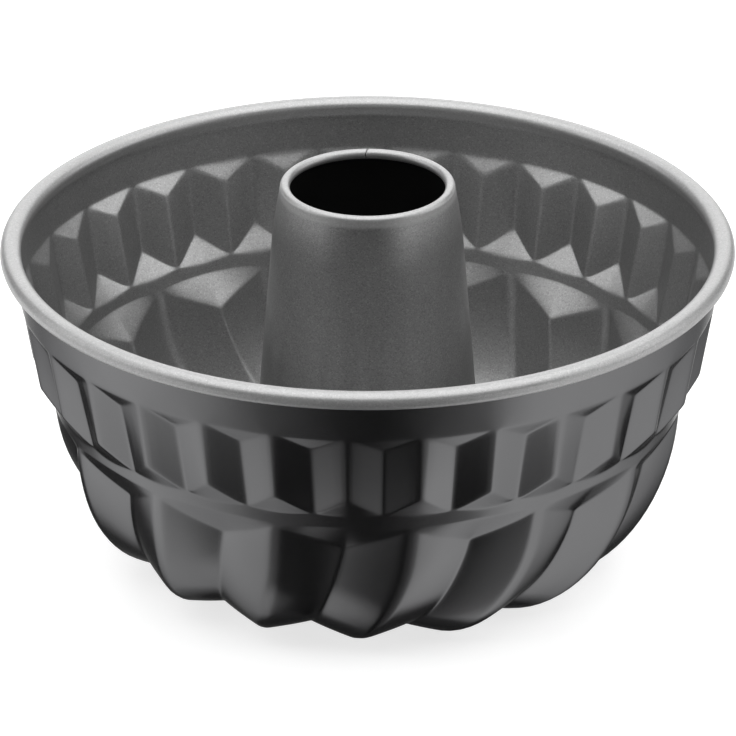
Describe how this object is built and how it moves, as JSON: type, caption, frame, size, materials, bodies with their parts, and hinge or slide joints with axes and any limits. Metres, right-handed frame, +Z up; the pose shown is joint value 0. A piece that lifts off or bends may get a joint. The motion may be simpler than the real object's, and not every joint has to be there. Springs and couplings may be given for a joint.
{
  "type": "gugelhupf pan",
  "caption": "Round fluted ring-cake pan: a pleated sheet-metal bowl with a rolled rim and swirled flutes, round a tapered open chimney.",
  "frame": {"origin": "on the resting plane, under the chimney's axis", "axes": "+Z up along the chimney, out of the open mouth; -Y is the side that faces the viewer in the picture"},
  "size_m": [0.2318, 0.2318, 0.125],
  "materials": {
    "bowl_coat": "non-stick coat on steel sheet: dark semi-gloss outside, grey and finely speckled inside and on the rim",
    "chimney_coat": "grey, finely speckled non-stick coat on steel sheet"
  },
  "bodies": {
    "root": {"bowl_shell": "bowl_coat", "chimney_tube": "chimney_coat"}
  },
  "joints": []
}
